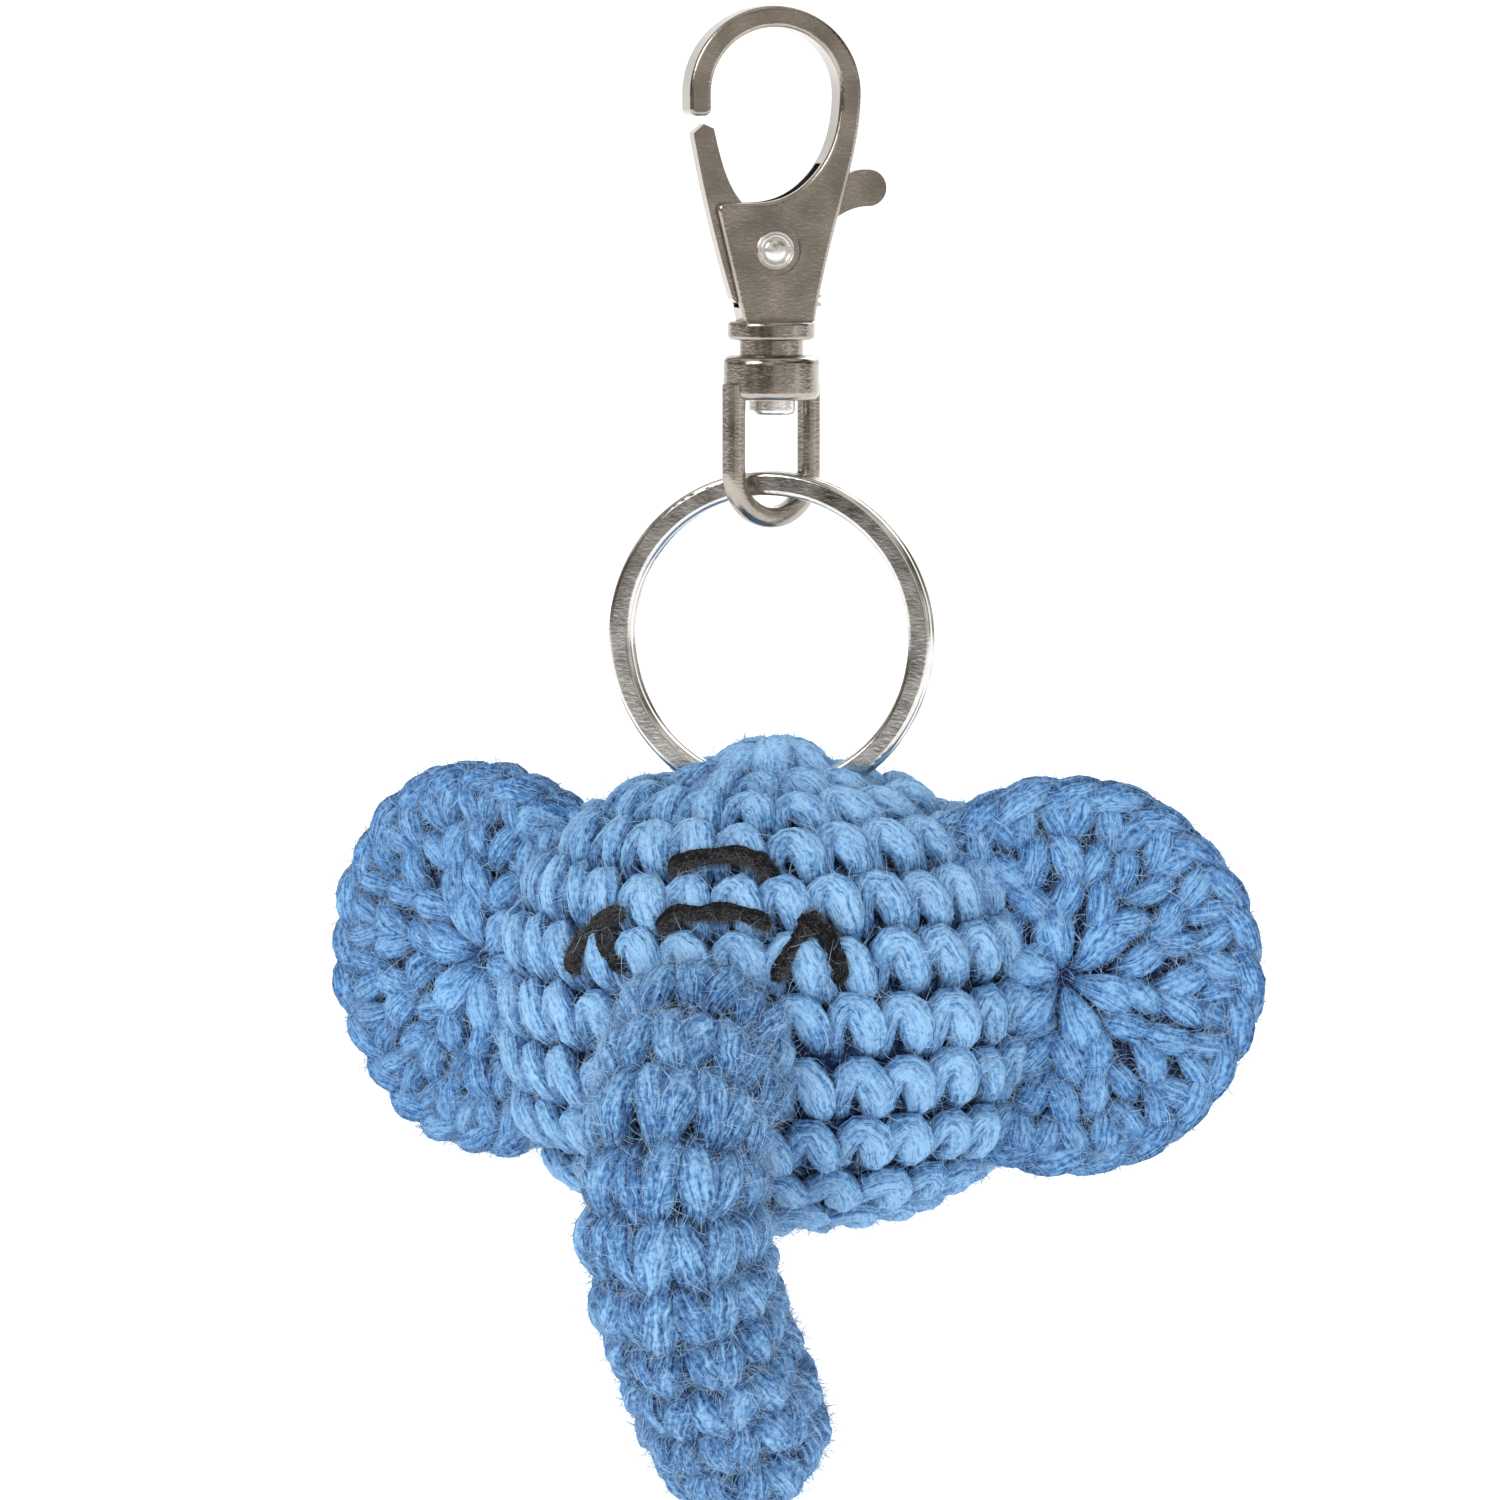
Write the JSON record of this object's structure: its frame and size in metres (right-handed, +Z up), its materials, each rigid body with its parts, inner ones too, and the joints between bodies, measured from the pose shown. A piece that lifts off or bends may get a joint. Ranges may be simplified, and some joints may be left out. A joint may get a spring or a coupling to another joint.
{
  "type": "crocheted elephant-head key charm",
  "caption": "Crocheted elephant-head key charm with sewn-on ears and hanging trunk, on a split ring, swivel eye and spring-gated clasp.",
  "frame": {"origin": "centre of the clasp's arch, where the charm hangs from", "axes": "+Z up, the elephant faces -Y, its own left side is +X; the clasp stands 28 degrees and the swivel eye 50 degrees round from the face"},
  "size_m": [0.0718, 0.0526, 0.1094],
  "materials": {
    "nickel_cast": "polished",
    "nickel_wire": "polished",
    "spring_steel": "satin",
    "blue_yarn": "matte",
    "ear_yarn": "matte",
    "black_yarn": "matte",
    "fibre_fill": "matte"
  },
  "bodies": {
    "clasp": {"hook_body": "nickel_cast", "gate_rivet": "nickel_cast", "gate_spring": "spring_steel", "swivel_rivet": "nickel_cast"},
    "gate": {"gate_lever": "nickel_cast"},
    "eye": {"swivel_eye": "nickel_cast"},
    "ring": {"split_ring": "nickel_wire"},
    "head": {"head_cover": "blue_yarn", "head_stuffing": "fibre_fill", "left_eye_stitches": "black_yarn", "right_eye_stitches": "black_yarn", "upper_brow_stitch": "black_yarn", "lower_brow_stitch": "black_yarn", "left_ear_seam_yarn": "blue_yarn", "right_ear_seam_yarn": "blue_yarn", "trunk_seam_yarn": "blue_yarn"},
    "left_ear_body": {"left_ear": "ear_yarn"},
    "right_ear_body": {"right_ear": "ear_yarn"},
    "trunk": {"trunk_cover": "blue_yarn", "trunk_stuffing": "fibre_fill"}
  },
  "joints": [
    {"name": "gate_hinge", "type": "hinge", "parent": "clasp", "child": "gate", "pos_m": [0, 0, -0.0116], "axis": [-0.4695, 0.8829, 0], "range_deg": [0, 27], "stiffness_Nm_per_rad": 0.02, "deforming": ["gate_spring"]},
    {"name": "swivel_spin", "type": "hinge", "parent": "clasp", "child": "eye", "pos_m": [0, 0, -0.0211], "axis": [0, 0, 1], "continuous": true},
    {"name": "ring_swing", "type": "hinge", "parent": "eye", "child": "ring", "pos_m": [0, 0, -0.029], "axis": [1, 0, 0], "range_deg": [-60, 60]},
    {"name": "head_swing", "type": "hinge", "parent": "ring", "child": "head", "pos_m": [0, 0, -0.0522], "axis": [1, 0, 0], "range_deg": [-25, 25]},
    {"name": "left_ear_flap", "type": "hinge", "parent": "head", "child": "left_ear_body", "pos_m": [0.0202, -0.0006, -0.0654], "axis": [0, 0, 1], "range_deg": [-15, 18], "stiffness_Nm_per_rad": 0.002},
    {"name": "right_ear_flap", "type": "hinge", "parent": "head", "child": "right_ear_body", "pos_m": [-0.0202, -0.0006, -0.0654], "axis": [0, 0, -1], "range_deg": [-15, 18], "stiffness_Nm_per_rad": 0.002},
    {"name": "trunk_swing", "type": "hinge", "parent": "head", "child": "trunk", "pos_m": [0, -0.0204, -0.0652], "axis": [-1, 0, 0], "range_deg": [-6, 32], "stiffness_Nm_per_rad": 0.004}
  ]
}
